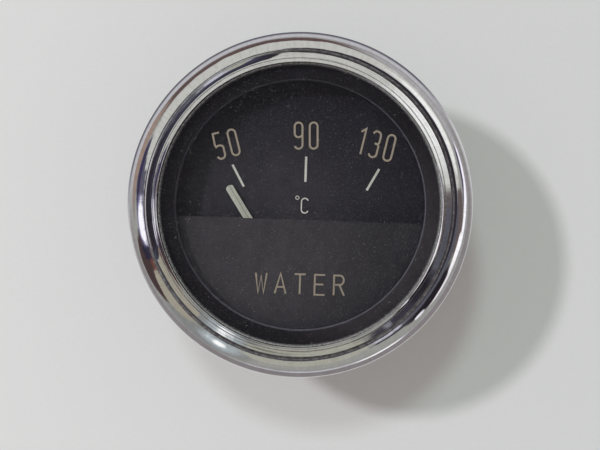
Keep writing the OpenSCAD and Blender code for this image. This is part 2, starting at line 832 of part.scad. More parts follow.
// Studs that clamp the case's back between their shoulders and the pillars
module mounting_studs() {
    tip = 0.5;
    color([0.66, 0.66, 0.62]) at_both(stud_place, 0) union() {
        rotate_extrude() polygon([
            [0, back_z - stud_l],
            [stud_r - tip, back_z - stud_l],
            [stud_r, back_z - stud_l + tip],
            [stud_r, back_z - stud_shoulder_t / 2],
            [stud_shank_r, back_z - stud_shoulder_t / 2],
            [stud_shank_r, floor_z + stud_shank_l],
            [0, floor_z + stud_shank_l]
        ]);
        translate([0, 0, back_z - stud_shoulder_t])
            cylinder(d = stud_shoulder_w / cos(30), h = stud_shoulder_t, $fn = 6);
    }
}

// An insulating board with round corners behind the case
module terminal_board() {
    corner_x = terminal_place[0] + board_margin - board_corner_r;
    corner_top = terminal_place[1] + board_top_gap - board_corner_r;
    corner_bottom = terminal_place[1] - board_foot_gap + board_corner_r;
    board_h = corner_top - corner_bottom;
    color([0.25, 0.14, 0.08]) difference() {
        translate([0, 0, board_z]) linear_extrude(board_t) union() {
            translate([-corner_x - board_corner_r, corner_bottom])
                square([2 * (corner_x + board_corner_r), board_h]);
            translate([-corner_x, corner_bottom - board_corner_r])
                square([2 * corner_x, board_h + 2 * board_corner_r]);
            for (x = [-corner_x, corner_x], y = [corner_bottom, corner_top])
                translate([x, y]) circle(r = board_corner_r);
        }
        at_both(terminal_place, board_z - eps)
            cylinder(r = rivet_r + hole_gap, h = board_t + 2 * eps);
    }
}

// Spade tabs: a foot under the rivet, and a blade that stands off the board
module terminal_tabs() {
    color([0.78, 0.66, 0.38]) at_both(terminal_place, 0) difference() {
        union() {
            translate([-tab_w / 2, -tab_foot_drop, tab_face_z])
                cube([tab_w, tab_foot_drop + tab_rise + tab_t, tab_t]);
            translate([0, tab_rise + tab_t, 0]) rotate([90, 0, 0]) linear_extrude(tab_t) polygon([
                [-tab_w / 2, tab_face_z + tab_t],
                [tab_w / 2, tab_face_z + tab_t],
                [tab_w / 2, board_z - tab_l + tab_nick],
                [tab_w / 2 - tab_nick, board_z - tab_l],
                [tab_nick - tab_w / 2, board_z - tab_l],
                [-tab_w / 2, board_z - tab_l + tab_nick]
            ]);
        }
        translate([0, 0, tab_face_z - eps]) cylinder(r = rivet_r + hole_gap, h = tab_t + 2 * eps);
        translate([0, tab_rise + tab_t + eps, board_z - tab_hole_drop]) rotate([90, 0, 0])
            cylinder(r = tab_hole_r, h = tab_t + 2 * eps);
    }
}

// Rivets through the tabs, the board, the bushes and the solder tags
module terminal_rivets() {
    color([0.78, 0.66, 0.38]) at_both(terminal_place, 0) union() {
        translate([0, 0, tab_face_z]) cylinder(r = rivet_r, h = tag_top - tab_face_z);
        translate([0, 0, tab_face_z - rivet_head_t])
            cylinder(r1 = rivet_head_r - rivet_head_taper, r2 = rivet_head_r, h = rivet_head_t);
        translate([0, 0, tag_top])
            cylinder(r1 = rivet_head_r, r2 = rivet_head_r - rivet_head_taper, h = rivet_head_t);
    }
}

module terminal_bushes() {
    bush_outer_r = rivet_r + hole_gap + bush_wall;
    color([0.25, 0.14, 0.08]) at_both(terminal_place, 0) difference() {
        union() {
            translate([0, 0, back_z]) cylinder(r = bush_outer_r, h = bush_end_z - back_z);
            translate([0, 0, floor_z]) cylinder(r = bush_outer_r + bush_rim, h = bush_rim_t);
        }
        translate([0, 0, back_z - eps])
            cylinder(r = rivet_r + hole_gap, h = bush_end_z - back_z + 2 * eps);
    }
}

// Ring tags whose tails reach under the leads
module solder_tags() {
    color([0.78, 0.66, 0.38]) for (side = [-1, 1]) {
        from = [side * terminal_place[0], terminal_place[1]];
        to = on_coil(side, lead_along, lead_out);
        reach = norm(to - from);
        translate([from[0], from[1], bush_end_z]) linear_extrude(tag_t) difference() {
            union() {
                circle(r = tag_r);
                rotate(atan2(to[1] - from[1], to[0] - from[0])) {
                    translate([0, -tag_tail_w / 2]) square([reach, tag_tail_w]);
                    translate([reach, 0]) circle(r = tag_end_r);
                }
            }
            circle(r = rivet_r + hole_gap);
        }
    }
}

// A lead from each winding, out to the side and down through the base plate to its tag
module coil_leads() {
    bend_swell = 1.15;
    bend_r = bend_swell * lead_r;
    color([0.55, 0.2, 0.12]) for (side = [-1, 1]) union() {
        on_axis(side, lead_along) rotate([0, side * 90, 0]) translate([0, 0, winding_r])
            cylinder(r = lead_r, h = lead_out - winding_r);
        translate(on_coil(side, lead_along, lead_out)) {
            translate([0, 0, coil_z]) sphere(r = bend_r);
            translate([0, 0, tag_top]) cylinder(r = lead_r, h = coil_z - tag_top);
        }
    }
}

// A push-in holder: a tube with slit spring fingers, a flange and a rolled rear lip
module lamp_shell() {
    color([0.68, 0.68, 0.64]) translate([0, lamp_rise, 0]) difference() {
        rotate_extrude() polygon([
            [lamp_in_r, insulator_z],
            [lamp_in_r - lamp_lip_w, insulator_z],
            [lamp_in_r - lamp_lip_w, lamp_back_z],
            [lamp_r, lamp_back_z],
            [lamp_r, back_z - lamp_flange_t],
            [lamp_flange_r, back_z - lamp_flange_t],
            [lamp_flange_r, back_z],
            [lamp_r, back_z],
            [lamp_r, lamp_front_z],
            [lamp_in_r, lamp_front_z]
        ]);
        for (angle = [30:60:150]) rotate([0, 0, angle])
            translate([-lamp_r - eps, -slit_w / 2, floor_z + slit_root])
            cube([2 * (lamp_r + eps), slit_w, lamp_inner_l]);
    }
}

module lamp_insulator() {
    color([0.25, 0.14, 0.08]) translate([0, lamp_rise, insulator_z])
        ring(lamp_in_r - hole_gap, contact_shank_r, insulator_t);
}

// The contact under the bulb, its rivet, and the spade tab behind the holder
module lamp_tab() {
    foot_r = 3;
    foot_step = 0.4;
    shoulder_drop = 0.6;
    shoulder_z = insulator_z - tab_t - shoulder_drop;
    color([0.78, 0.66, 0.38]) translate([0, lamp_rise, 0]) union() {
        translate([0, 0, insulator_z - tab_t]) cylinder(r = foot_r, h = tab_t);
        translate([0, 0, insulator_z - tab_t])
            cylinder(r = contact_shank_r, h = contact_top - insulator_z + tab_t);
        translate([0, 0, contact_top - contact_t]) cylinder(r = contact_r, h = contact_t);
        translate([0, tab_t / 2, 0]) rotate([90, 0, 0]) linear_extrude(tab_t) polygon([
            [-tab_w / 2, shoulder_z],
            [-foot_r + foot_step, insulator_z - tab_t / 2],
            [foot_r - foot_step, insulator_z - tab_t / 2],
            [tab_w / 2, shoulder_z],
            [tab_w / 2, tab_end_z + tab_nick],
            [tab_w / 2 - tab_nick, tab_end_z],
            [tab_nick - tab_w / 2, tab_end_z],
            [-tab_w / 2, tab_end_z + tab_nick]
        ]);
    }
}

// The bulb's cap, with its tip contact and two bayonet pins
module bulb_base() {
    tip_r = 1.8;
    tip_taper = 0.5;
    color([0.8, 0.72, 0.5]) translate([0, lamp_rise, 0]) union() {
        translate([0, 0, contact_top]) cylinder(r1 = tip_r - tip_taper, r2 = tip_r, h = cap_gap);
        translate([0, 0, cap_z]) cylinder(r = bulb_cap_r, h = cap_top - cap_z);
        translate([-lamp_in_r + hole_gap, 0, cap_pin_z]) rotate([0, 90, 0])
            cylinder(r = cap_pin_r, h = 2 * (lamp_in_r - hole_gap));
    }
}

// A hollow glass envelope with a domed end
module bulb_glass() {
    tip_z = cap_top + bulb_l;
    dome_z = tip_z - bulb_r;
    shoulder_z = cap_top + bulb_neck_l + bulb_shoulder_l;
    color([0.9, 0.9, 0.85, 0.4]) translate([0, lamp_rise, 0]) rotate_extrude() polygon(concat(
        [[bulb_neck_r - bulb_wall, cap_top], [bulb_neck_r, cap_top]],
        [[bulb_neck_r, cap_top + bulb_neck_l], [bulb_r, shoulder_z]],
        arc([0, dome_z], bulb_r, 0, 90),
        arc([0, dome_z], bulb_r - bulb_wall, 90, 0),
        [[bulb_r - bulb_wall, shoulder_z], [bulb_neck_r - bulb_wall, cap_top + bulb_neck_l]]
    ));
}

bezel();
glass();
glass_gasket();
spacer_ring();
mask_plate();
dial_plate();
dial_screws();
dial_standoffs();
stop_pins();
pointer();
pointer_boss();
pointer_counterweight();
pointer_staff();
armature();
front_bridge();
front_bearing();
bridge_posts();
base_plate();
rear_bearing();
bobbin(-1);  // left_bobbin
bobbin(1);  // right_bobbin
winding(-1);  // left_winding
winding(1);  // right_winding
core(-1);  // left_core
core(1);  // right_core
bracket(-1);  // left_bracket
bracket(1);  // right_bracket
bracket_screws();
post_screws();
case_can();
frame_pillars();
pillar_screws();
mounting_studs();
terminal_board();
terminal_tabs();
terminal_rivets();
terminal_bushes();
solder_tags();
coil_leads();
lamp_shell();
lamp_insulator();
lamp_tab();
bulb_base();
bulb_glass();
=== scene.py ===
import math

import bpy
from mathutils import Matrix, Vector


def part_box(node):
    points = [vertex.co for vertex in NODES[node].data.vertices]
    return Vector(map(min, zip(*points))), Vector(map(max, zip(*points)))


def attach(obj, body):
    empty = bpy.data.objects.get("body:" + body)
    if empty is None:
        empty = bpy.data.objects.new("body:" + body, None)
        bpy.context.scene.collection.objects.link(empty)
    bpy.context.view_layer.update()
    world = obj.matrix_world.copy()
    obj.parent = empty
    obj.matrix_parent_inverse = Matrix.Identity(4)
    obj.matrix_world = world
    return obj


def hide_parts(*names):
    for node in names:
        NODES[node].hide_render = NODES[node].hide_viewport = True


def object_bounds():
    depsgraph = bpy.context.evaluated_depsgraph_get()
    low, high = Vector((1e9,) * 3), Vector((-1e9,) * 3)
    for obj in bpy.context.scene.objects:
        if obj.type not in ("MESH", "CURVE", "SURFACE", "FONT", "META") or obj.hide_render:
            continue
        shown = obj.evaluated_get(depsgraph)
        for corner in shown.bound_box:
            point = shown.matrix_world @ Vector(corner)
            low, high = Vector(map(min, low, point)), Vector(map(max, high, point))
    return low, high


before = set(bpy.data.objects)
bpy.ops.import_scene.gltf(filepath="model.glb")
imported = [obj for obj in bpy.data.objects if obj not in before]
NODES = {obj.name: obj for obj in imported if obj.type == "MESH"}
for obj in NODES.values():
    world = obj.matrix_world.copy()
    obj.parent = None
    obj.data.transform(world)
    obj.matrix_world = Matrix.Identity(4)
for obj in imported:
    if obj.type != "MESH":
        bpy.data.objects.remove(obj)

CAD_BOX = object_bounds()
MM = 0.001
TURN = math.radians(1.93)  # the gauge's turn in the photograph

# The camera: where it aims, in millimetres along the photograph's right and up and out of the face, and how far
# it leans to the right, in degrees and as a slope
CAMERA_AIM = (0.05, -3.51, 3.4)
CAMERA_DISTANCE = 0.4196
CAMERA_LENS = 145
CAMERA_NEAR = 0.01
CAMERA_LEAN = 2.7
CAMERA_SLOPE = 0.047

# Radii on the face, in millimetres
RING_R = 21.7  # the spacer ring's opening
OPENING_R = 24.65  # the bezel's inner edge
COVE_LINE_R = 25.33  # a fine dark line near the foot of the cove, painted shade with some grime
COVE_R = 25.45  # where the cove rises from the land
LAND_R = 26.5  # the outer end of the sloping land
CREASE_R = 26.62  # the middle of the painted shade and grime between the land and the roll
DIRT_R, FULL_DIRT_R = 24.0, 24.75  # where the dirt on the glass begins, and where it is full


# Places and colours

def turned(x, y, z=0.0):
    """A direction given along the photograph's right, up and towards the camera, in the gauge's frame."""
    c, s = math.cos(TURN), math.sin(TURN)
    return Vector((x * c - y * s, x * s + y * c, z))


def linear(rgb, gain=1.0):
    """Display colour 0 to 255 as a linear RGBA colour."""
    out = [gain * (v / 255 / 12.92 if v <= 10 else ((v / 255 + 0.055) / 1.055) ** 2.4) for v in rgb]
    return (*out, 1.0)


def corner(node, axis, top):
    """One side of a CAD node's box, in millimetres."""
    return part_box(node)[1 if top else 0][axis] / MM


GLASS_R = corner("glass", 0, True)
GLASS_LOW = corner("glass", 2, False)
GLASS_TOP = corner("glass", 2, True)


def add_object(name, data):
    obj = bpy.data.objects.new(name, data)
    bpy.context.scene.collection.objects.link(obj)
    return obj


def add_camera():
    data = bpy.data.cameras.new("camera")
    data.lens = CAMERA_LENS
    data.clip_start = CAMERA_NEAR
    cam = add_object("camera", data)
    aim = turned(*(c * MM for c in CAMERA_AIM))
    side, up = turned(1, 0), turned(0, 1)
    lean = math.radians(CAMERA_LEAN)
    back = side * math.sin(lean) + Vector((0, 0, math.cos(lean)))
    right = up.cross(back).normalized()
    up = back.cross(right)
    axes = Matrix((right, up, back)).transposed().to_4x4()
    cam.matrix_world = Matrix.Translation(aim + CAMERA_DISTANCE * back) @ axes
    bpy.context.scene.camera = cam


# Node trees

class Tree:
    """A node tree, built from calls that return sockets. Patterns are in millimetres of the object."""

    def __init__(self, tree):
        self.tree = tree
        tree.nodes.clear()

    def node(self, kind, *inputs, **settings):
        n = self.tree.nodes.new(kind)
        for key, value in settings.items():
            setattr(n, key, value)
        for i, value in enumerate(inputs):
            self.put(n.inputs[i], value)
        return n

    def put(self, socket, value):
        if isinstance(value, bpy.types.NodeSocket):
            self.tree.links.new(value, socket)
        elif value is not None:
            socket.default_value = value

    def place(self, scale=(1, 1, 1)):
        """Object coordinates in millimetres, stretched."""
        n = self.node("ShaderNodeMapping", self.node("ShaderNodeTexCoord").outputs["Object"])
        n.inputs["Scale"].default_value = [v / MM for v in scale]
        return n.outputs[0]

    def axes(self, at=None):
        """The three coordinates of a place."""
        return self.node("ShaderNodeSeparateXYZ", at or self.place()).outputs

    def point(self, x, y):
        """A place from two coordinates."""
        return self.node("ShaderNodeCombineXYZ", x, y).outputs[0]

    def noise(self, scale, detail=4.0, rough=0.55, at=None, warp=0.0):
        n = self.node("ShaderNodeTexNoise")
        self.put(n.inputs["Vector"], at or self.place())
        for key, value in (("Scale", scale), ("Detail", detail), ("Roughness", rough), ("Distortion", warp)):
            n.inputs[key].default_value = value
        return n.outputs["Fac"]

    def specks(self, scale, size, share, at=None, flat=False):
        """Round specks up to size millimetres across, in a share of the cells of 1/scale millimetres."""
        n = self.node("ShaderNodeTexVoronoi", voronoi_dimensions="2D" if flat else "3D")
        self.put(n.inputs["Vector"], at or self.place())
        n.inputs["Scale"].default_value = scale
        grain = self.node("ShaderNodeSeparateColor", n.outputs["Color"])
        reach = self.span(grain.outputs[1], 0, 1, 0.3 * size * scale / 2, size * scale / 2)
        near = self.math("LESS_THAN", n.outputs["Distance"], reach)
        kept = self.math("LESS_THAN", grain.outputs[2], share)
        return self.times(near, kept)

    def math(self, op, a, b=None, c=None, clamp=False):
        return self.node("ShaderNodeMath", a, b, c, operation=op, use_clamp=clamp).outputs[0]

    def times(self, a, b):
        return self.math("MULTIPLY", a, b)

    def most(self, a, b):
        return self.math("MAXIMUM", a, b)

    def span(self, value, low, high, to_low=0.0, to_high=1.0, smooth=False):
        """A value from low to high, clamped and turned into one from to_low to to_high."""
        n = self.node("ShaderNodeMapRange", value, low, high, to_low, to_high, clamp=True)
        if smooth:
            n.interpolation_type = "SMOOTHSTEP"
        return n.outputs[0]

    def spread(self, noise, to_low=0.0, to_high=1.0):
        """Noise, which seldom leaves 0.3 to 0.7, spread over a range."""
        return self.span(noise, 0.3, 0.7, to_low, to_high)

    def line(self, value, middle, outer, inner):
        """1 where a value is within inner of the middle, falling to 0 at outer."""
        return self.span(self.math("ABSOLUTE", self.math("SUBTRACT", value, middle)), outer, inner, smooth=True)

    def mix(self, share, a, b):
        """Colour a turning into colour b. Each is a socket, a linear colour or a display colour."""
        n = self.node("ShaderNodeMix", data_type="RGBA")
        for i, value in ((0, share), (6, a), (7, b)):
            self.put(n.inputs[i], linear(value) if isinstance(value, tuple) and len(value) == 3 else value)
        return n.outputs[2]

    def ramp(self, value, *stops):
        """Display colours at places from 0 to 1."""
        n = self.node("ShaderNodeValToRGB", value)
        band = n.color_ramp
        while len(band.elements) < len(stops):
            band.elements.new(0.5)
        for element, (at, rgb) in zip(band.elements, stops):
            element.position = at
            element.color = linear(rgb)
        return n.outputs[0]

    def radius(self, x0=0.0, y0=0.0):
        """Distance from the gauge's axis, or from the vertical through a place, in millimetres."""
        x, y, _ = self.axes()
        dx, dy = self.math("SUBTRACT", x, x0), self.math("SUBTRACT", y, y0)
        return self.math("POWER", self.math("ADD", self.times(dx, dx), self.times(dy, dy)), 0.5)

    def towards(self, x, y):
        """How far a place lies in the direction x, y from the axis, as a share of its radius, from -1 to 1."""
        px, py, _ = self.axes()
        along = self.math("ADD", self.times(px, x), self.times(py, y))
        return self.math("DIVIDE", along, self.most(self.radius(), 1.0))

    def seen(self):
        """1 for the rays that show the camera what they meet, directly or through glass."""
        rays = self.node("ShaderNodeLightPath").outputs
        return self.math("ADD", rays["Is Camera Ray"], rays["Is Transmission Ray"], clamp=True)

    def mirrored(self):
        """1 for the rays that show what a surface mirrors."""
        return self.node("ShaderNodeLightPath").outputs["Is Glossy Ray"]

    def blend(self, share, a, b):
        """Shader a turning into shader b."""
        return self.node("ShaderNodeMixShader", share, a.outputs[0], b.outputs[0])

    def bump(self, height, depth, normal=None):
        """A surface raised by up to depth millimetres."""
        n = self.node("ShaderNodeBump")
        n.inputs["Distance"].default_value = depth * MM
        n.inputs["Strength"].default_value = 1.0
        self.put(n.inputs["Height"], height)
        if normal:
            self.put(n.inputs["Normal"], normal)
        return n.outputs[0]


class Surface(Tree):
    """A material with one Principled shader."""

    def __init__(self, name, **constants):
        self.material = bpy.data.materials.new(name)
        self.material.use_nodes = True
        super().__init__(self.material.node_tree)
        self.shader = self.node("ShaderNodeBsdfPrincipled")
        self.out = self.node("ShaderNodeOutputMaterial", self.shader.outputs[0])
        self.set(**constants)

    def set(self, **values):
        for key, value in values.items():
            self.put(self.shader.inputs[key.replace("_", " ").title().replace("Ior", "IOR")], value)


# Materials

def chrome():
    """Chrome with radial rubbing, a thin film, pits, painted shade with some grime in the crease and the cove,
    and hair lines below.
    """
    bright, rubbed, shade_and_grime_tone = (224, 224, 227), (203, 202, 201), (84, 78, 84)
    scratched, pitted = (92, 92, 92), (92, 82, 72)
    crease_w, cove_line_w = (0.34, 0.16), (0.13, 0.05)  # half widths, to nothing and to full
    s = Surface("chrome", metallic=1.0)
    p = s.place()
    x, y, z = s.axes(p)
    radius = s.radius()
    around = s.math("ARCTAN2", y, x)

    # Rubbing along the radius, and a film that grows towards 6 o'clock
    streak = s.noise(1.0, 5.0, 0.75, s.point(s.times(around, 34.0), s.times(radius, 0.55)))
    rub = s.span(streak, 0.4, 0.7)
    low = s.span(y, -8, -24, smooth=True)
    film = s.times(s.span(s.noise(0.5, 6.0, 0.65, p), 0.4, 0.75), s.span(low, 0, 1, 0.4, 1.0))
    tone = s.mix(s.most(film, s.times(rub, 0.8)), bright, rubbed)

    # Painted shade with some grime: dark in the crease, less on the upper left, and along a line in the cove
    crease = s.times(s.line(radius, CREASE_R, *crease_w), s.span(z, 3.5, 4.0))
    crease = s.times(crease, s.span(s.towards(-0.87, 0.5), 0.8, 0.6, 0.1, 1.0, smooth=True))
    crease = s.most(crease, s.times(s.line(radius, COVE_LINE_R, *cove_line_w), 0.8))
    shade_and_grime = s.times(crease, s.span(s.noise(1.2, 5.0, 0.7, p), 0.3, 0.6, 0.45, 0.9))
    tone = s.mix(shade_and_grime, tone, shade_and_grime_tone)

    # Hair lines on the land, strongest near 6 o'clock
    hairs = s.noise(1.0, 3.0, 0.6, s.point(s.times(around, 2.5), s.times(radius, 4.0)))
    below = s.span(s.towards(0, 1), -0.7, -0.92, 0.3, 1.0, smooth=True)
    on_land = s.span(radius, LAND_R - 0.05, LAND_R - 0.3, 0.0, 0.6)
    hairs = s.times(s.span(hairs, 0.5, 0.62, smooth=True), s.times(below, on_land))
    tone = s.mix(hairs, tone, scratched)

    pits = s.specks(0.9, 0.16, 0.1, p)
    s.set(base_color=s.mix(pits, tone, pitted))
    dull = s.span(s.times(film, rub), 0, 1, 0.03, 0.2)
    s.set(roughness=s.math("ADD", dull, s.times(s.most(pits, crease), 0.3)))
    fine = s.bump(s.math("SUBTRACT", s.span(s.noise(2.2, 5.0, 0.6, p), 0, 1, 0, 0.5), pits), 0.003)
    s.set(normal=s.bump(s.noise(0.16, 2.0, 0.5, p), 0.06, s.bump(streak, 0.0012, fine)))
    return s.material


def see_through(s):
    """Shows the shader to the camera and through other glass, and lets all other rays pass straight through."""
    clear = s.node("ShaderNodeBsdfTransparent")
    s.put(s.out.inputs[0], s.blend(s.seen(), clear, s.shader).outputs[0])


def clear_glass():
    """Glass with dust, and dirt in a ring along the bezel's edge."""
    s = Surface("clear_glass", ior=1.5)
    p = s.place()
    dust = s.most(s.times(s.specks(0.8, 0.13, 0.22, p, flat=True), 0.24),
                  s.times(s.specks(2.6, 0.09, 0.22, p, flat=True), 0.2))
    lip = s.math("POWER", s.span(s.radius(), DIRT_R, FULL_DIRT_R, smooth=True), 2.0)
    ring = s.times(lip, s.spread(s.noise(2.0, 4.0, 0.7, p), 0.05, 0.5))
    dirt = s.most(dust, ring)
    s.set(base_color=s.mix(dirt, (255, 255, 255), (168, 164, 142)))
    s.set(transmission_weight=s.math("SUBTRACT", 1.0, dirt), roughness=s.span(dirt, 0, 1, 0.0, 0.7))
    see_through(s)
    return s.material


def bulb_clear():
    s = Surface("bulb_clear", ior=1.45)
    film = s.span(s.noise(0.7, 4.0, 0.6), 0.4, 0.8, 0.0, 0.08)
    s.set(base_color=s.mix(film, (255, 255, 252), (190, 186, 170)))
    s.set(transmission_weight=s.math("SUBTRACT", 1.0, film), roughness=s.span(film, 0, 0.08, 0.0, 0.08))
    see_through(s)
    return s.material


def painted(name, dark, light, rough, dust_colour, dust, shine=0.5, haze_at=(-8, -7), haze=0.19, edge=None):
    """Mottled paint with fine dust and a haze round a place. An edge at a radius is painted grey as a
    highlight, strongest towards the lower right.
    """
    edge_highlight_grey = (104, 104, 114)
    s = Surface(name)
    p = s.place()
    mottle = s.span(s.noise(0.22, 5.0, 0.62, p), 0.3, 0.75)
    specks = s.most(s.times(s.specks(3.6, 0.15, 0.6, p, flat=True), 0.4),
                    s.times(s.specks(0.85, 0.19, 0.06, p, flat=True), 0.8))
    haze = s.times(s.spread(s.noise(0.3, 7.0, 0.7, p), 0.6, 1.4),
                   s.span(s.radius(*haze_at), 8, 25, haze, 0.01, smooth=True))
    paint = s.mix(mottle, dark, light)
    paint = s.mix(s.times(s.most(specks, haze), dust), paint, dust_colour)
    if edge:
        # Painted highlight: the edge at the radius turns grey, more towards the lower right, as if lit there
        rubbed = s.times(s.span(s.radius(), edge + 0.3, edge + 0.12, smooth=True),
                         s.span(s.noise(1.5, 5.0, 0.7, p), 0.3, 0.6, 0.5, 1.0))
        rubbed = s.times(rubbed, s.span(s.towards(1, -1), -0.7, 0.4, 0.35, 1.0))
        paint = s.mix(rubbed, paint, edge_highlight_grey)
    s.set(base_color=paint, roughness=s.span(mottle, 0, 1, rough, rough + 0.12), specular_ior_level=shine)
    s.set(normal=s.bump(s.noise(9.0, 3.0, 0.6, p), 0.004))
    return s.material


def metal(name, dark, light, rough, brush=(1, 1, 1), scale=1.6):
    """Drawn, turned or plated metal: a mottled tone and fine marks along one direction."""
    s = Surface(name, metallic=1.0)
    tone = s.noise(0.3, 5.0, 0.6)
    marks = s.noise(scale, 6.0, 0.7, s.place(brush))
    both = s.math("ADD", s.times(tone, 0.6), s.times(marks, 0.4))
    s.set(base_color=s.ramp(s.span(both, 0.32, 0.68), (0.0, dark), (1.0, light)))
    s.set(roughness=s.spread(marks, rough, rough + 0.18), normal=s.bump(marks, 0.004))
    return s.material


def zinc_plate():
    """Passivated zinc: straw and grey clouds, drawn marks round the case and small stains."""
    s = Surface("zinc_case", metallic=1.0)
    p = s.place()
    cloud = s.noise(0.11, 6.0, 0.6, p, 0.4)
    marks = s.noise(1.2, 5.0, 0.7, s.place((0.05, 0.05, 3.0)))
    stain = s.span(s.noise(0.42, 7.0, 0.72, p), 0.6, 0.72)
    base = s.ramp(s.span(cloud, 0.3, 0.72),
                  (0.0, (166, 164, 156)), (0.55, (186, 182, 166)), (1.0, (172, 161, 128)))
    s.set(base_color=s.mix(s.times(stain, 0.45), base, (122, 112, 94)))
    s.set(roughness=s.span(s.math("ADD", marks, s.times(stain, 0.6)), 0.3, 1.0, 0.27, 0.6))
    s.set(normal=s.bump(marks, 0.006))
    return s.material


def rubber():
    s = Surface("black_rubber")
    grain = s.noise(4.0, 4.0, 0.7)
    s.set(base_color=s.ramp(grain, (0.3, (30, 30, 31)), (0.75, (48, 47, 46))))
    s.set(roughness=s.spread(grain, 0.7, 0.9), normal=s.bump(grain, 0.01))
    return s.material


def copper_wire(side):
    """Enamelled wire: close turns round the coil, which lies half way between two axes."""
    s = Surface("copper_wire", coat_weight=0.5, metallic=0.85)
    wire = 0.17  # the wire's radius
    x, y, _ = s.axes(s.place((math.sqrt(0.5) * side, math.sqrt(0.5), 1)))
    turn = s.math("PINGPONG", s.math("ADD", x, y), wire)
    layer = s.noise(0.9, 4.0, 0.6)
    enamel = s.ramp(s.spread(layer), (0.0, (148, 70, 36)), (1.0, (186, 98, 54)))
    # Painted shade: dark in the grooves between the turns
    s.set(base_color=s.mix(s.span(turn, 0.0, 0.06), (58, 22, 12), enamel))
    s.set(roughness=s.spread(layer, 0.25, 0.4))
    s.set(normal=s.bump(s.math("POWER", s.span(turn, 0.0, wire), 0.5), 0.09))
    return s.material


def moulding():
    s = Surface("bobbin_moulding")
    cloud = s.noise(0.5, 4.0, 0.6)
    s.set(base_color=s.ramp(s.spread(cloud), (0.0, (196, 184, 150)), (1.0, (214, 205, 176))))
    s.set(roughness=s.spread(cloud, 0.42, 0.55), normal=s.bump(s.noise(6.0, 3.0), 0.006))
    return s.material


def laminate():
    """Brown paper laminate with short fibres."""
    s = Surface("insulator")
    fibre = s.noise(1.1, 6.0, 0.7, s.place((0.5, 3.0, 1.0)), 1.2)
    s.set(base_color=s.ramp(s.spread(fibre),
                            (0.0, (66, 38, 22)), (0.6, (92, 56, 34)), (1.0, (112, 74, 46))))
    s.set(roughness=s.spread(fibre, 0.38, 0.56), normal=s.bump(fibre, 0.008))
    return s.material


def print_paint(name, dark, light):
    """Printed or sprayed marks, a little uneven."""
    s = Surface(name)
    wear = s.noise(2.4, 5.0, 0.7)
    s.set(base_color=s.ramp(s.spread(wear), (0.0, dark), (1.0, light)))
    s.set(roughness=s.spread(wear, 0.5, 0.7), normal=s.bump(s.noise(7.0, 3.0), 0.004))
    return s.material


def pointer_paint():
    """Aged cream paint, with a dark line along the ridge that is painted shade, and a painted highlight that
    makes it paler towards one edge.
    """
    s = Surface("pointer_paint")
    pivot = (corner("pointer_staff", 1, False) + corner("pointer_staff", 1, True)) / 2
    lean = math.radians(33.3)  # from 12 o'clock to the blade
    cream, worn = (184, 184, 170), (204, 204, 190)
    ridge_shade_tone, lit_edge_tone, dirt_tone = (96, 96, 84), (214, 216, 204), (92, 88, 74)
    x, y, _ = s.axes()
    across = s.math("ADD", s.times(x, math.cos(lean)), s.times(s.math("SUBTRACT", y, pivot), math.sin(lean)))
    wear = s.noise(1.1, 5.0, 0.65)
    tone = s.ramp(s.spread(wear), (0.0, cream), (1.0, worn))
    # Painted shade: a dark line along the ridge, broken by the wear noise
    ridge = s.times(s.line(across, 0.14, 0.1, 0.02), s.spread(wear, 0.45, 0.75))
    tone = s.mix(ridge, tone, ridge_shade_tone)
    # Painted highlight: paler towards one edge of the blade
    tone = s.mix(s.span(across, -0.3, -0.6, 0.0, 0.5), tone, lit_edge_tone)
    s.set(base_color=s.mix(s.times(s.specks(2.2, 0.16, 0.12), 0.5), tone, dirt_tone))
    s.set(roughness=s.spread(wear, 0.45, 0.6), normal=s.bump(s.noise(5.0, 4.0), 0.005))
    return s.material


def make_materials():
    return {
        "chrome": chrome(),
        "clear_glass": clear_glass(),
        "black_rubber": rubber(),
        "ring_black": painted("ring_black", (17, 16, 19), (25, 24, 27), 0.45, dust_colour=(118, 110, 116),
                              dust=0.5, shine=0.15, haze_at=(17, -9), haze=0.32, edge=RING_R),
        "dial_black": painted("dial_black", (22, 21, 28), (31, 30, 38), 0.55, dust_colour=(128, 122, 128),
                              dust=0.55),
        "mask_black": painted("mask_black", (27, 26, 31), (37, 36, 41), 0.5, dust_colour=(132, 126, 130),
                              dust=0.55),
        "pointer_paint": pointer_paint(),
        "brass": metal("brass", (158, 126, 70), (206, 172, 104), 0.26, brush=(0.3, 0.3, 3)),
        "tin_brass": metal("tin_brass", (176, 158, 112), (208, 196, 160), 0.3, brush=(1, 1, 0.4), scale=1.2),
        "steel": metal("steel", (164, 164, 161), (204, 204, 200), 0.24, brush=(3, 3, 0.3)),
        "soft_iron": metal("soft_iron", (92, 92, 94), (128, 127, 126), 0.38, scale=1.1),
        "zinc_case": zinc_plate(),
        "copper_wire": copper_wire(1),
        "bobbin_moulding": moulding(),
        "insulator": laminate(),
        "bulb_clear": bulb_clear(),
        "tan_print": print_paint("tan_print", (140, 130, 114), (160, 149, 132)),
        "pale_print": print_paint("pale_print", (196, 196, 186), (216, 216, 206)),
    }


# Shapes

def add_mesh(name, verts, faces, material, body, sharp):
    """A piece with vertices in millimetres. Edges sharper than sharp degrees stay crisp."""
    mesh = bpy.data.meshes.new(name)
    mesh.from_pydata([[c * MM for c in v] for v in verts], [], faces)
    mesh.polygons.foreach_set("use_smooth", [True] * len(faces))
    mesh.set_sharp_from_angle(angle=math.radians(sharp))
    mesh.materials.append(material)
    obj = add_object(name, mesh)
    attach(obj, body)
    return obj


def oval(cx, cy, rx, ry, start, end, steps=16):
    """Points along an oval between two angles, in degrees."""
    turns = [math.radians(start + (end - start) * i / steps) for i in range(steps + 1)]
    return [(cx + rx * math.cos(a), cy + ry * math.sin(a)) for a in turns]


def arc(cx, cy, r, start, end, steps=16):
    return oval(cx, cy, r, r, start, end, steps)


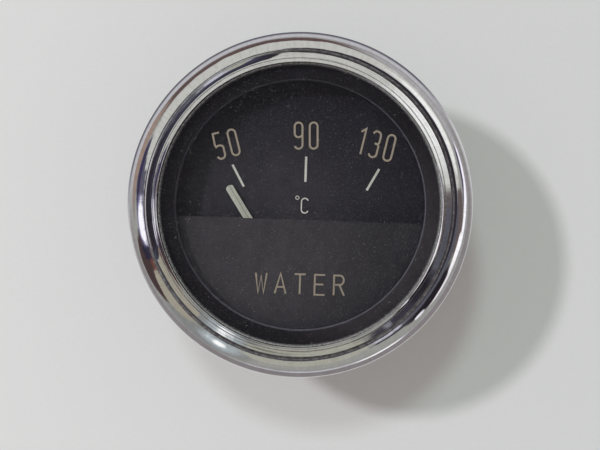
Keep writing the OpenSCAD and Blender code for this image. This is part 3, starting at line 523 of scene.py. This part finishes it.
def lathe(name, outline, material, body, steps, sharp=30):
    """A closed outline of (radius, height) turned round the gauge's axis."""
    verts, rings = [], []
    for r, z in outline:
        if r < 1e-6:
            rings.append([len(verts)] * steps)
            verts.append((0, 0, z))
            continue
        rings.append(list(range(len(verts), len(verts) + steps)))
        for k in range(steps):
            a = 2 * math.pi * k / steps
            verts.append((r * math.cos(a), r * math.sin(a), z))
    faces = []
    for i, ring in enumerate(rings):
        after = rings[(i + 1) % len(rings)]
        for k in range(steps):
            j = (k + 1) % steps
            face = [ring[k], ring[j], after[j], after[k]]
            face = [v for n, v in enumerate(face) if v not in face[:n]]
            if len(face) > 2:
                faces.append(face)
    return add_mesh(name, verts, faces, material, body, sharp)


# The bezel, the glass and the spacer ring, in finer versions that carry the reflections

SHEET = 0.6  # the bezel's sheet
FOLD_R = 0.5  # the bend at the foot of its rim
LIP = 1.8  # how far its lip reaches in under the case's flange
ROLL_W, ROLL_H = 3.24, 3.1  # from the roll's crest out to the rim, and down to its middle
LAND_Z = GLASS_TOP + 1.35  # the land's outer end
LAND_STEP, LAND_RISE = 0.15, 0.0319  # how far the land goes inward and up between two rows of vertices
COVE_Z = LAND_Z + 0.2232  # the foot of the cove
COVE_REACH, COVE_SLOPE, COVE_CURVE = 0.68, 0.2126, 0.37


def build_bezel(mats):
    """A rolled rim, a sloping land and a cove up to the inner edge, over a plainer underside."""
    rim = corner("bezel", 0, True)
    crest = corner("bezel", 2, True)
    roll_at = (rim - ROLL_W, crest - ROLL_H)
    lip = corner("case_can", 0, True) - LIP
    shoulder = 0.35  # height of the bend from the roll down to the land
    edge_r, edge_z = 0.07, LAND_Z + 0.425
    under = GLASS_TOP + 0.2
    cove = [i * COVE_REACH / 20 for i in range(21)]
    bezel = lathe("bezel_chrome", [
        (lip, 0),
        *arc(rim - FOLD_R, FOLD_R, FOLD_R, -90, 0, 8),
        *oval(*roll_at, ROLL_W, ROLL_H, 0, 90, 48),
        *oval(roll_at[0], crest - shoulder, roll_at[0] - LAND_R, shoulder, 100, 180, 8),
        *[(LAND_R - LAND_STEP * i, LAND_Z + LAND_RISE * i) for i in range(7)],
        *[(COVE_R - d, COVE_Z + COVE_SLOPE * d + COVE_CURVE * d ** 3) for d in cove],
        *arc(OPENING_R + edge_r, edge_z, edge_r, 60, 180, 6),
        (OPENING_R, GLASS_TOP),
        (OPENING_R + SHEET, GLASS_TOP),
        (OPENING_R + SHEET, GLASS_TOP + 0.35),
        (OPENING_R + SHEET + 0.4, under),
        (LAND_R + SHEET, under),
        *oval(*roll_at, ROLL_W - SHEET, ROLL_H - SHEET, 80, 0, 20),
        (rim - SHEET, SHEET),
        (lip, SHEET),
    ], mats["chrome"], "gauge", steps=360, sharp=40)
    bend_bezel(bezel)
    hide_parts("bezel")


def on_arc(around, start, start_soft, end, end_soft):
    """1 between two angles in degrees, easing to 0 at both over the softness of each."""
    share = max(0.0, min(1.0, (around - start) / start_soft, (end - around) / end_soft))
    return share * share * (3 - 2 * share)


def bend_bezel(bezel):
    """Raises the land's outer end on the left and the upper left, and flattens the cove over the upper half.

    The angles run clockwise from 3 o'clock, as they do in the picture."""
    land_lift, land_curve, land_arc = 0.32, 1.25, (152, 14, 274, 28)
    cove_drop, cove_arc = 0.17, (186, 10, 352, 10)
    for v in bezel.data.vertices:
        x, y, z = (c / MM for c in v.co)
        out = math.hypot(x, y) - COVE_R
        around = math.degrees(TURN - math.atan2(y, x)) % 360
        if 0 < out < LAND_R - COVE_R + 0.01 and -0.01 < z - LAND_Z < 0.25:
            v.co.z += land_lift * on_arc(around, *land_arc) * out ** land_curve * MM
        if -0.85 < out < 0 and z > LAND_Z:
            v.co.z -= cove_drop * on_arc(around, *cove_arc) * min(0.7, -out) ** 3 * MM


def build_glass(mats):
    bevel = 0.25
    glass = lathe("cover_glass", [
        (0, GLASS_LOW),
        (GLASS_R - bevel, GLASS_LOW),
        (GLASS_R, GLASS_LOW + bevel),
        (GLASS_R, GLASS_TOP - bevel),
        (GLASS_R - bevel, GLASS_TOP),
        (0, GLASS_TOP),
    ], mats["clear_glass"], "gauge", steps=180)
    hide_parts("glass")


def build_ring(mats):
    """An angle section with a rounded inner shoulder."""
    sheet = 0.5
    flange = corner("spacer_ring", 2, True)
    foot = corner("spacer_ring", 2, False)
    ring = lathe("spacer_ring_black", [
        (GLASS_R, flange - sheet),
        (GLASS_R, flange),
        *arc(RING_R + sheet, flange - sheet, sheet, 90, 180, 10),
        (RING_R, foot),
        (RING_R + sheet, foot),
        (RING_R + sheet, flange - sheet),
    ], mats["ring_black"], "gauge", steps=240)
    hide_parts("spacer_ring")


# The studs: threaded rods below a hexagonal shoulder, with a plain shank above it

STUD_X, STUD_Y = 17.5, -10
THREAD_R, PITCH, THREAD_DEPTH = 2.0, 0.7, 0.3
RUN_OUT = 0.8  # length over which the thread fades below the shoulder
TIP_SHARE, TIP_H = 0.75, 2.2  # the tip's share of the full radius, and the height that would add a whole radius
HEXAGON_R, ROUNDED_R = 3.0, 3.34  # to the flats, and to the corners after rounding
SHOULDER_H, SHANK_R = 1.2, 1.6
CHAMFER_W, CHAMFER_H = 0.22, 0.12
STUD_STEPS, ROWS_A_TURN = 40, 8


def build_studs(mats):
    verts, faces = [], []
    for side in (-1, 1):
        add_stud(verts, faces, side * STUD_X, STUD_Y)
    studs = add_mesh("mounting_studs_threaded", verts, faces, mats["zinc_case"], "gauge", 35)
    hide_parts("mounting_studs")


def add_stud(verts, faces, x, y):
    foot, top = corner("mounting_studs", 2, False), corner("mounting_studs", 2, True)
    back = corner("case_can", 2, False)
    shoulder = back - SHOULDER_H
    steps = STUD_STEPS
    rows = int((shoulder - foot) / PITCH * ROWS_A_TURN)
    rings = [[(0.0, foot)] * steps]
    for i in range(rows + 1):
        z = foot + (shoulder - foot) * i / rows
        run_out = min(1.0, (shoulder - z) / RUN_OUT)
        tip = min(1.0, TIP_SHARE + (z - foot) / TIP_H)
        ring = []
        for k in range(steps):
            turn = ((z - foot) / PITCH + k / steps) % 1
            tooth = min(1.0, 1.5 * abs(2 * turn - 1))
            ring.append(((THREAD_R - THREAD_DEPTH * tooth * run_out) * tip, z))
        rings.append(ring)
    angles = [2 * math.pi * k / steps for k in range(steps)]
    hexagon = [HEXAGON_R / math.cos((a + math.pi / 6) % (math.pi / 3) - math.pi / 6) for a in angles]
    soft = [min(r, ROUNDED_R) for r in hexagon]
    rings.append([(r - CHAMFER_W, shoulder) for r in soft])
    rings.append([(r, shoulder + CHAMFER_H) for r in soft])
    rings.append([(r, back) for r in soft])
    rings += [[end] * steps for end in ((SHANK_R, back), (SHANK_R, top), (0.0, top))]
    start = len(verts)
    for ring in rings:
        verts += [(x + r * math.cos(a), y + r * math.sin(a), z) for a, (r, z) in zip(angles, ring)]
    for i in range(len(rings) - 1):
        for k in range(steps):
            j = (k + 1) % steps
            a, b = start + i * steps, start + (i + 1) * steps
            face = [a + k, a + j, b + j, b + k]
            if rings[i][0][0] == 0:
                face = [a, b + j, b + k]
            elif rings[i + 1][0][0] == 0:
                face = [a + k, a + j, b]
            faces.append(face)


# Printed figures

H, W = 4.55, 1.36  # height and width of a figure, between the middles of its strokes
R = W / 2
FIGURES = {
    "0": [arc(R, H - R, R, 180, 0) + arc(R, R, R, 0, -180) + [(0, H - R)]],
    "1": [[(-0.05, H - 0.72), (0.68, H), (0.68, 0)]],
    "3": [arc(R, H - R, R, 165, 0) + oval(W - 0.45, 0.62 * H, 0.45, 0.5, 0, -75, 6) + [(0.62, 0.535 * H)],
          [(0.62, 0.535 * H)] + oval(W - 0.5, 0.44 * H, 0.5, 0.4, 75, 0, 6) + arc(R, R, R, 0, -165)],
    "5": [[(1.24, H), (0.1, H), (0.02, 0.56 * H)] + oval(R, 0.5 * H - 0.35, R, 0.42, 140, 0, 8)
          + arc(R, R, R, 0, -165)],
    "9": [arc(R, H - R, R, 0, 180) + arc(R, 0.44 * H + R, R, 180, 360) + [(W, H - R)],
          [(W, 0.44 * H + R)] + arc(R, R, R, 0, -160)],
}
# The letters fill a square of 1 by 1
LETTERS = {
    "W": [[(0, 1), (0.25, 0), (0.5, 0.85), (0.75, 0), (1, 1)]],
    "A": [[(0, 0), (0.5, 1), (1, 0)], [(0.2, 0.33), (0.8, 0.33)]],
    "T": [[(0, 1), (1, 1)], [(0.5, 1), (0.5, 0)]],
    "E": [[(1, 1), (0.08, 1), (0.08, 0), (1, 0)], [(0.08, 0.52), (0.86, 0.52)]],
    "R": [[(0.06, 0), (0.06, 1), (0.6, 1)] + oval(0.6, 0.765, 0.34, 0.235, 90, -90, 12) + [(0.06, 0.53)],
          [(0.56, 0.53), (1, 0)]],
}
# The numerals: text, the left side of each figure, the middle along the photograph's right and up, and the lean
NUMERALS = [
    ("50", (0, 2.62), (-12.8, 10.56), 14),
    ("90", (0, 2.62), (1.1, 12.02), 0),
    ("130", (0.65, 2.7, 5.3), (13.02, 10.5), -14),
]
MARKS = [((-10.65, 3.0), (-12.8, 6.85)), ((0.33, 4.2), (0.33, 8.7)), ((11.3, 3.05), (13.4, 6.9))]
WORD, WORD_AT = "WATER", (0.26, -13.9)
LETTER_W, LETTER_H, LETTER_PITCH = 1.94, 3.5, 3.42
NUMERAL_PEN, MARK_PEN, LETTER_PEN = 0.33, 0.4, 0.31
DEGREE_PEN, UNIT_PEN = 0.13, 0.22
MITRE = 0.45  # the smaller, the further a sharp corner may reach out
INK = 0.02  # thickness of the print
INK_STEP = 0.0015  # how far each stroke of a sign lies above the one before
INK_GAP = 0.026  # from the glass down to the back of the numerals


def stroke(points, width, z, verts, faces):
    """A flat ribbon along points."""
    clean = [points[0]]
    for p in points[1:]:
        if math.dist(p, clean[-1]) > 1e-4:
            clean.append(p)
    closed = math.dist(clean[0], clean[-1]) < 1e-3
    if closed:
        clean.pop()
    n = len(clean)
    sides = []
    for i, p in enumerate(clean):
        before = clean[i - 1] if closed or i else p
        after = clean[(i + 1) % n] if closed or i < n - 1 else p
        d1 = Vector((p[0] - before[0], p[1] - before[1]))
        d2 = Vector((after[0] - p[0], after[1] - p[1]))
        d1 = d1.normalized() if d1.length else d2.normalized()
        d2 = d2.normalized() if d2.length else d1
        along = (d1 + d2).normalized()
        reach = width / 2 / max(MITRE, along.dot(d1))
        across = Vector((-along.y, along.x)) * reach
        sides.append(((p[0] + across.x, p[1] + across.y), (p[0] - across.x, p[1] - across.y)))
    start = len(verts)
    for left, right in sides:
        verts += [(*left, z), (*right, z), (*right, z + INK), (*left, z + INK)]
    for i in range(n if closed else n - 1):
        a, b = start + 4 * i, start + 4 * ((i + 1) % n)
        for k in range(4):
            j = (k + 1) % 4
            faces.append([a + k, b + k, b + j, a + j])
    if not closed:
        faces.append([start, start + 1, start + 2, start + 3])
        end = start + 4 * (n - 1)
        faces.append([end + 3, end + 2, end + 1, end])


def write(lines, at, angle, width, z, verts, faces):
    """Strokes turned by an angle in degrees and set at a place on the gauge."""
    c, s = math.cos(math.radians(angle)), math.sin(math.radians(angle))
    for i, points in enumerate(lines):
        placed = [(at[0] + x * c - y * s, at[1] + x * s + y * c) for x, y in points]
        stroke(placed, width, z + INK_STEP * i, verts, faces)


def row(signs, glyphs, starts, middle, scale=(1, 1)):
    """The strokes of a row of signs, with the left side of each, set round the middle."""
    return [[(start + x * scale[0] - middle[0], y * scale[1] - middle[1]) for x, y in points]
            for sign, start in zip(signs, starts) for points in glyphs[sign]]


def build_print(mats):
    verts, faces = [], []
    for text, starts, place, angle in NUMERALS:
        narrow = 0.3 if text[0] == "1" else 0  # a row that begins with the narrow 1 stands further right
        middle = ((starts[0] + starts[-1] + W) / 2 - narrow, H / 2)
        write(row(text, FIGURES, starts, middle), turned(*place), angle + math.degrees(TURN), NUMERAL_PEN,
              GLASS_LOW - INK_GAP, verts, faces)
    add_mesh("glass_numerals", verts, faces, mats["tan_print"], "gauge", 50)

    dial = corner("dial_plate", 2, True)
    verts, faces = [], []
    for ends in MARKS:
        stroke(ends, MARK_PEN, dial, verts, faces)
    # The unit: a small ring and a C
    stroke(arc(-1.0, 1.33, 0.3, 0, 360, 28), DEGREE_PEN, dial, verts, faces)
    stroke(arc(0.36, 0.66, 0.6, 20, 180) + arc(0.36, -0.76, 0.6, 180, 340), UNIT_PEN, dial, verts, faces)
    add_mesh("dial_marks", verts, faces, mats["pale_print"], "gauge", 50)

    verts, faces = [], []
    starts = [LETTER_PITCH * i for i in range(len(WORD))]
    middle = (2 * LETTER_PITCH + LETTER_W / 2, LETTER_H / 2)
    lines = row(WORD, LETTERS, starts, middle, (LETTER_W, LETTER_H))
    write(lines, WORD_AT, 0, LETTER_PEN, corner("mask_plate", 2, True), verts, faces)
    add_mesh("mask_word", verts, faces, mats["tan_print"], "gauge", 50)


# Materials of the CAD nodes

def dress(mats):
    slots = {
        "black_rubber": ["glass_gasket"],
        "dial_black": ["dial_plate"],
        "mask_black": ["mask_plate"],
        "pointer_paint": ["pointer"],
        "zinc_case": ["case_can", "lamp_shell"],
        "brass": ["dial_standoffs", "pointer_boss", "pointer_counterweight", "front_bearing", "bridge_posts",
                  "rear_bearing", "frame_pillars", "bulb_base"],
        "tin_brass": ["terminal_tabs", "terminal_rivets", "solder_tags", "lamp_tab"],
        "steel": ["dial_screws", "stop_pins", "pointer_staff", "front_bridge", "base_plate", "bracket_screws",
                  "post_screws", "pillar_screws"],
        "soft_iron": ["armature", "left_core", "right_core", "left_bracket", "right_bracket"],
        "copper_wire": ["right_winding", "coil_leads"],
        "bobbin_moulding": ["left_bobbin", "right_bobbin"],
        "insulator": ["terminal_board", "terminal_bushes", "lamp_insulator"],
        "bulb_clear": ["bulb_glass"],
    }
    for slot, names in slots.items():
        for name in names:
            NODES[name].material_slots[0].material = mats[slot]
    NODES["left_winding"].material_slots[0].material = copper_wire(-1)


# Floor, lamps and world

FLOOR_REACH, FLOOR_CELLS = 3.0, 8
FLOOR_GAP = 0.0001  # below the gauge's lowest point
SUN_DISTANCE = 0.5
# Suns: name, towards, strength, colour and width in degrees
SUNS = [
    ("key", (-0.348, 0.195, 1), 0.99, (0.99, 0.975, 1.04), 3.5),
    ("second", (-0.045, 0.25, 1), 0.56, (0.8, 1, 0.95), 5),
]
AMBIENT, AMBIENT_STRENGTH = (1, 0.94, 0.925, 1), 0.475
BACKDROP = (213, 213, 213)


def floor_paper():
    """Pale paper. The chrome sees it in other tones, painted for mirrored rays only: a dark and a bright side,
    with a painted contact shadow close to the gauge on the upper left and painted shade on the lower right.
    """
    near_r, far_r = 80, 160  # where the near tones end and the far ones are full
    dark_r, full_dark_r = 45, 80  # the same for the darker lower right
    s = Surface("floor_paper")
    grain = s.noise(1.5, 5.0, 0.6)
    x = s.axes()[0]
    radius = s.radius()
    # Painted light: the paper is lighter on the left than on the right
    side = s.span(x, -60, 60, 0.36, -0.35)
    pale = s.ramp(s.math("ADD", s.spread(grain, 0.45, 0.6), side, clamp=True),
                  (0.0, (215, 216, 215)), (1.0, (231, 231, 230)))
    # Painted reflection for mirrored rays: a painted contact shadow close to the gauge on the upper left, pale
    # far upper left, darker far away elsewhere, and painted shade beyond the lower right
    away = s.towards(0.35, -1)
    upper_left = s.span(away, -0.1, -0.6, smooth=True)
    near = s.mix(upper_left, (250, 250, 252), (112, 110, 122))
    far = s.mix(upper_left, (172, 168, 165), (222, 220, 224))
    shown = s.mix(s.span(radius, near_r, far_r, smooth=True), near, far)
    lower_right = s.span(away, -0.5, 0.7, smooth=True)
    lower_right_shade = s.times(lower_right, s.span(radius, dark_r, full_dark_r, smooth=True))
    shown = s.mix(lower_right_shade, shown, (157, 150, 151))
    s.set(base_color=s.mix(s.mirrored(), pale, shown))
    s.set(roughness=s.spread(grain, 0.75, 0.85), specular_ior_level=0.2)
    return s.material


def add_floor():
    low = CAD_BOX[0][2] - FLOOR_GAP
    n = FLOOR_CELLS
    ticks = [-FLOOR_REACH + 2 * FLOOR_REACH / n * i for i in range(n + 1)]
    verts = [(x, y, low) for y in ticks for x in ticks]
    faces = [[j * (n + 1) + i, j * (n + 1) + i + 1, (j + 1) * (n + 1) + i + 1, (j + 1) * (n + 1) + i]
             for j in range(n) for i in range(n)]
    mesh = bpy.data.meshes.new("floor")
    mesh.from_pydata(verts, [], faces)
    mesh.materials.append(floor_paper())
    floor = add_object("floor", mesh)


def add_sun(name, towards, strength, colour, width):
    data = bpy.data.lights.new(name, "SUN")
    data.energy = strength
    data.color = colour
    data.angle = math.radians(width)
    lamp = add_object(name, data)
    lamp.rotation_euler = turned(*towards).to_track_quat("Z", "Y").to_euler()
    lamp.location = turned(*towards) * SUN_DISTANCE
    lamp.visible_glossy = False


# Bright and dark areas of the studio that the chrome shows: angle clockwise from 3 o'clock, degrees from
# straight above, half of each width, squareness, softness of the edge, and the tone that the chrome shows
ROOM = [
    (240, 70, 62, 12, 4, 0.35, (92, 76, 74)),
    (330, 72, 42, 12, 2, 0.5, (168, 165, 168)),
    (193, 36, 12, 27, 2, 0.4, (84, 84, 98)),
    (275, 0, 83, 59, 4, 0.06, (190, 190, 184)),
    (327, 36, 22, 12, 2, 0.9, (240, 241, 238)),
    (352, 65, 14, 7, 2, 0.4, (75, 68, 92)),
    (351, 76, 13, 7, 2, 0.4, (250, 246, 255)),
    (5, 70, 12, 8, 2, 0.4, (252, 250, 255)),
    (6, 38, 14, 20, 2, 0.4, (98, 88, 86)),
    (22, 18, 28, 17, 2, 0.4, (86, 86, 94)),
    (47, 30, 14, 7, 2, 0.4, (60, 56, 66)),
    (34, 42, 13, 17, 2, 0.35, (36, 32, 38)),
    (17, 60, 8, 12, 2, 0.4, (255, 253, 255)),
    (28, 64, 9, 6, 2, 0.5, (236, 230, 234)),
    (42, 52, 2.2, 7, 2, 0.5, (238, 238, 242)),
    (54, 14, 5.5, 12, 2, 0.5, (188, 188, 198)),
    (82, 86, 32, 5, 2, 0.5, (190, 190, 197)),
    (61, 90, 9, 8, 2, 0.5, (255, 255, 255)),
    (128, 44, 20, 42, 2, 0.6, (132, 134, 132)),
    (88, 8, 26, 36, 3, 0.06, (166, 165, 153)),
    (158, 48, 14, 32, 2, 0.25, (72, 58, 58)),
    (145, 0, 13.5, 47, 2, 0.06, (158, 153, 138)),
    (159.5, 12, 2.4, 15, 2, 0.8, (112, 66, 56)),
    (164, 26, 3.5, 28, 2, 0.5, (44, 43, 60)),
    (187, 25, 4, 28, 2, 0.5, (90, 88, 102)),
    (191, 46, 14, 9, 2, 0.4, (60, 54, 80)),
    (199, 73, 20, 16, 2, 0.4, (150, 131, 121)),
    (175, 27, 9, 22, 2, 0.7, (130, 126, 160)),
    (175, 26, 7.5, 16, 2, 0.35, (252, 250, 255)),
    (120.5, 34, 8, 30, 2, 0.9, (168, 177, 180)),
    (120.5, 36, 3.2, 13, 2, 0.6, (255, 255, 255)),
]
# Dark round areas over the dial: angle, degrees from straight above, half width, tone
DARK = [(330, 11, 12, (46, 43, 49)), (75, 5, 7, (62, 62, 78)), (212, 1, 5.5, (52, 50, 60))]
DARK_SOFT = 1.2  # degrees over which their edges fade, to either side
# The rest of the studio, by share of the way from straight above to straight below
WALLS = [(0.33, (152, 152, 147)), (0.4, (148, 148, 144)), (0.5, (154, 153, 153))]
RAGGED, RAGGED_SCALE = 0.14, 9.0  # how far the edges of the areas wander, and how finely
SHINE = 1 / 0.74  # chrome gives back this much less than falls on it


def studio_tone(t):
    """The studio, by the normal of the chrome that mirrors it to the camera: areas laid over each other."""
    direction = t.node("ShaderNodeTexCoord").outputs["Generated"]
    half_way = t.node("ShaderNodeVectorMath", direction, turned(CAMERA_SLOPE, 0, 1), operation="ADD").outputs[0]
    half_way = t.node("ShaderNodeVectorMath", half_way, operation="NORMALIZE").outputs[0]
    x, y, z = t.axes(half_way)
    azimuth = t.math("ARCTAN2", y, x)
    zenith = t.times(t.math("ARCCOSINE", z), 2.0)
    ragged = t.node("ShaderNodeTexNoise", direction)
    ragged.inputs["Scale"].default_value = RAGGED_SCALE
    ragged = t.spread(ragged.outputs["Fac"], -RAGGED, RAGGED)
    tone = t.ramp(t.math("DIVIDE", zenith, math.pi, clamp=True), *WALLS)
    tone = t.node("ShaderNodeVectorMath", tone, operation="SCALE")
    tone.inputs["Scale"].default_value = SHINE
    tone = tone.outputs[0]
    for around, above, half_round, half_above, square, soft, colour in ROOM:
        off = t.math("WRAP", t.math("SUBTRACT", azimuth, TURN - math.radians(around)), math.pi, -math.pi)
        off = t.math("POWER", t.math("DIVIDE", t.math("ABSOLUTE", off), math.radians(half_round)), square)
        lift = t.math("DIVIDE", t.math("SUBTRACT", zenith, math.radians(above)), math.radians(half_above))
        far = t.math("ADD", t.math("MULTIPLY_ADD", lift, lift, off), ragged)
        tone = t.mix(t.span(far, 1 + soft, 1 - soft, smooth=True), tone, linear(colour, SHINE))
    for around, above, half, colour in DARK:
        a, lean = TURN - math.radians(around), math.radians(above) / 2
        middle = (math.sin(lean) * math.cos(a), math.sin(lean) * math.sin(a), math.cos(lean))
        near = t.node("ShaderNodeVectorMath", half_way, middle, operation="DOT_PRODUCT").outputs["Value"]
        outer, inner = (math.cos(math.radians(half + d) / 2) for d in (DARK_SOFT, -DARK_SOFT))
        tone = t.mix(t.span(near, outer, inner, smooth=True), tone, linear(colour, SHINE))
    return tone


def add_world():
    """The studio for what is mirrored, an even light for what is lit, and a pale backdrop for the camera."""
    world = bpy.data.worlds.new("studio")
    world.use_nodes = True
    bpy.context.scene.world = world
    world.cycles.sampling_method = "NONE"
    t = Tree(world.node_tree)
    room = t.node("ShaderNodeBackground", studio_tone(t), 1.0)
    soft = t.node("ShaderNodeBackground", AMBIENT, AMBIENT_STRENGTH)
    pale = t.node("ShaderNodeBackground", linear(BACKDROP), 1.0)
    lit = t.blend(t.mirrored(), soft, room)
    t.node("ShaderNodeOutputWorld", t.blend(t.seen(), lit, pale).outputs[0])


add_camera()
MATERIALS = make_materials()
build_bezel(MATERIALS)
build_glass(MATERIALS)
build_ring(MATERIALS)
build_studs(MATERIALS)
build_print(MATERIALS)
dress(MATERIALS)
add_floor()
for sun in SUNS:
    add_sun(*sun)
add_world()
bpy.context.scene.view_settings.view_transform = "Standard"
